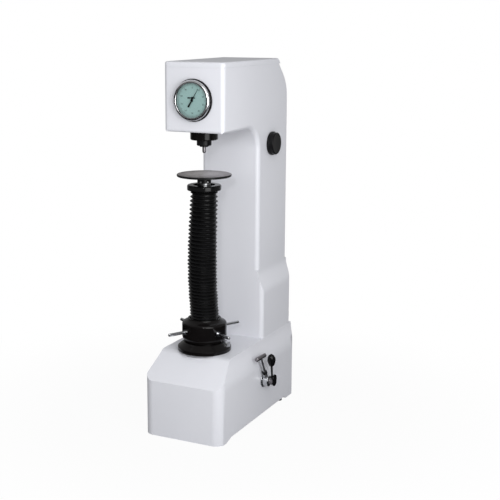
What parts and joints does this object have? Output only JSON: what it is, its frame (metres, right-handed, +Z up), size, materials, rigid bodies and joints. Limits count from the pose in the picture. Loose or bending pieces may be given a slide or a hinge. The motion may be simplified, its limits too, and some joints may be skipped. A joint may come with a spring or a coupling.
{
  "type": "hardness tester",
  "caption": "Bench hardness tester: C-shaped cast frame with a dial indicator and an indenter in its head, a screw-raised test table in bellows, a handwheel, a load lever and a load selector.",
  "frame": {"origin": "centre of the outline in plan, on the bench surface", "axes": "+Z up along the elevating screw and spindle; the dial faces -Y; the load handle and the selector knob are on +X"},
  "size_m": [0.2824, 0.509, 1.025],
  "materials": {
    "grey_paint": "satin",
    "black_enamel": "gloss",
    "black_steel": "satin black oxide",
    "bright_steel": "ground",
    "table_steel": "satin",
    "chrome": "polished",
    "aluminium": "satin",
    "black_aluminium": "gloss black coating",
    "cast_iron": "matt",
    "bronze": "turned",
    "black_plastic": "gloss",
    "black_rubber": "gloss",
    "dial_green": "satin",
    "clear_glass": "polished"
  },
  "bodies": {
    "frame": {"frame_casting": "grey_paint", "top_cover": "grey_paint", "rear_cover": "grey_paint", "rear_cover_screws": "bright_steel", "levelling_feet": "black_rubber", "screw_seat": "black_enamel", "seat_key_block": "bright_steel", "seat_bolts": "black_steel", "screw_guide_key": "bright_steel", "thrust_bearing": "bright_steel", "spindle_flange": "black_enamel", "spindle_bush": "bronze", "fulcrum_bracket": "cast_iron", "fulcrum_pin": "bright_steel", "indicator_case": "black_enamel", "dial_centre": "dial_green", "load_shaft_bush": "chrome", "rod_guides": "cast_iron", "dashpot_bracket": "cast_iron", "dashpot_cylinder": "aluminium"},
    "handwheel": {"handwheel_hub": "black_enamel", "handwheel_rods": "chrome", "rod_ferrules": "chrome", "elevating_nut": "bronze", "upper_bearing_race": "bright_steel"},
    "elevating_screw": {"elevating_screw": "bright_steel", "bellows_ring": "black_plastic", "bellows": "black_rubber", "test_table": "table_steel", "table_screws": "bright_steel"},
    "spindle": {"spindle": "black_steel", "indenter": "bright_steel", "indenter_screw": "black_steel", "measuring_arm": "bright_steel", "initial_load_spring": "bright_steel"},
    "pointer": {"pointer": "black_plastic"},
    "small_pointer": {"small_pointer": "black_plastic"},
    "bezel": {"bezel": "chrome", "dial_face": "dial_green", "dial_glass": "clear_glass"},
    "load_handle": {"load_shaft": "bright_steel", "load_cam": "bright_steel", "load_hub": "chrome", "handle_rod": "chrome", "handle_nut": "black_steel", "handle_grip": "table_steel", "ball_lever": "black_steel", "ball_knob": "black_plastic", "end_cap": "black_plastic"},
    "push_rod": {"push_rod": "bright_steel", "lifting_yoke": "cast_iron", "dashpot_piston": "aluminium"},
    "load_beam": {"load_beam": "cast_iron"},
    "weight_hanger": {"weight_hanger": "bright_steel", "lower_weight": "cast_iron", "middle_weight": "cast_iron", "upper_weight": "cast_iron"},
    "load_selector": {"selector_knob": "black_aluminium", "selector_shaft": "bright_steel"},
    "weight_carrier": {"weight_carrier": "bright_steel"}
  },
  "joints": [
    {"name": "handwheel_turn", "type": "hinge", "parent": "frame", "child": "handwheel", "pos_m": [-0.0185, -0.1185, 0.285], "axis": [0, 0, 1], "range_deg": [-3300, 10200]},
    {"name": "screw_rise", "type": "slide", "parent": "frame", "child": "elevating_screw", "axis": [0, 0, 1], "range_m": [-0.1701, 0.0551], "deforming": ["bellows"]},
    {"name": "load_handle_turn", "type": "hinge", "parent": "frame", "child": "load_handle", "pos_m": [0.1055, 0.0185, 0.11], "axis": [1, 0, 0], "range_deg": [0, 75]},
    {"name": "push_rod_drop", "type": "slide", "parent": "frame", "child": "push_rod", "axis": [0, 0, -1], "range_m": [0, 0.0137]},
    {"name": "beam_tilt", "type": "hinge", "parent": "frame", "child": "load_beam", "pos_m": [-0.0185, -0.1335, 0.927], "axis": [-1, 0, 0], "range_deg": [0, 3.74]},
    {"name": "hanger_swing", "type": "hinge", "parent": "load_beam", "child": "weight_hanger", "pos_m": [-0.0185, 0.1515, 0.925], "axis": [1, 0, 0], "range_deg": [0, 3.74]},
    {"name": "selector_turn", "type": "hinge", "parent": "frame", "child": "load_selector", "pos_m": [0.0715, 0.1245, 0.786], "axis": [1, 0, 0], "range_deg": [0, 180]},
    {"name": "carrier_rise", "type": "slide", "parent": "frame", "child": "weight_carrier", "axis": [0, 0, 1], "range_m": [0, 0.00801]},
    {"name": "pointer_turn", "type": "hinge", "parent": "frame", "child": "pointer", "pos_m": [-0.0185, -0.1895, 0.925], "axis": [0, 1, 0], "range_deg": [0, 1441]},
    {"name": "spindle_rise", "type": "slide", "parent": "frame", "child": "spindle", "axis": [0, 0, 1], "range_m": [0, 0.0008], "stiffness_N_per_m": 2000, "springref_m": -0.002, "deforming": ["initial_load_spring"]},
    {"name": "small_pointer_turn", "type": "hinge", "parent": "frame", "child": "small_pointer", "pos_m": [-0.0185, -0.1865, 0.9315], "axis": [0, 1, 0], "range_deg": [0, 60.5]},
    {"name": "bezel_turn", "type": "hinge", "parent": "frame", "child": "bezel", "pos_m": [-0.0185, -0.1885, 0.925], "axis": [0, 1, 0], "continuous": true}
  ],
  "couplings": [
    {"joint": "screw_rise", "follows": "handwheel_turn", "m_per_rad": -0.00095493},
    {"joint": "push_rod_drop", "follows": "load_handle_turn", "m_per_rad": 0.010428},
    {"joint": "beam_tilt", "follows": "load_handle_turn", "ratio": 0.049656},
    {"joint": "hanger_swing", "follows": "load_handle_turn", "ratio": 0.049656},
    {"joint": "carrier_rise", "follows": "selector_turn", "m_per_rad": 0.0025465},
    {"joint": "pointer_turn", "follows": "spindle_rise", "rad_per_m": 31416},
    {"joint": "small_pointer_turn", "follows": "spindle_rise", "rad_per_m": 1309}
  ]
}
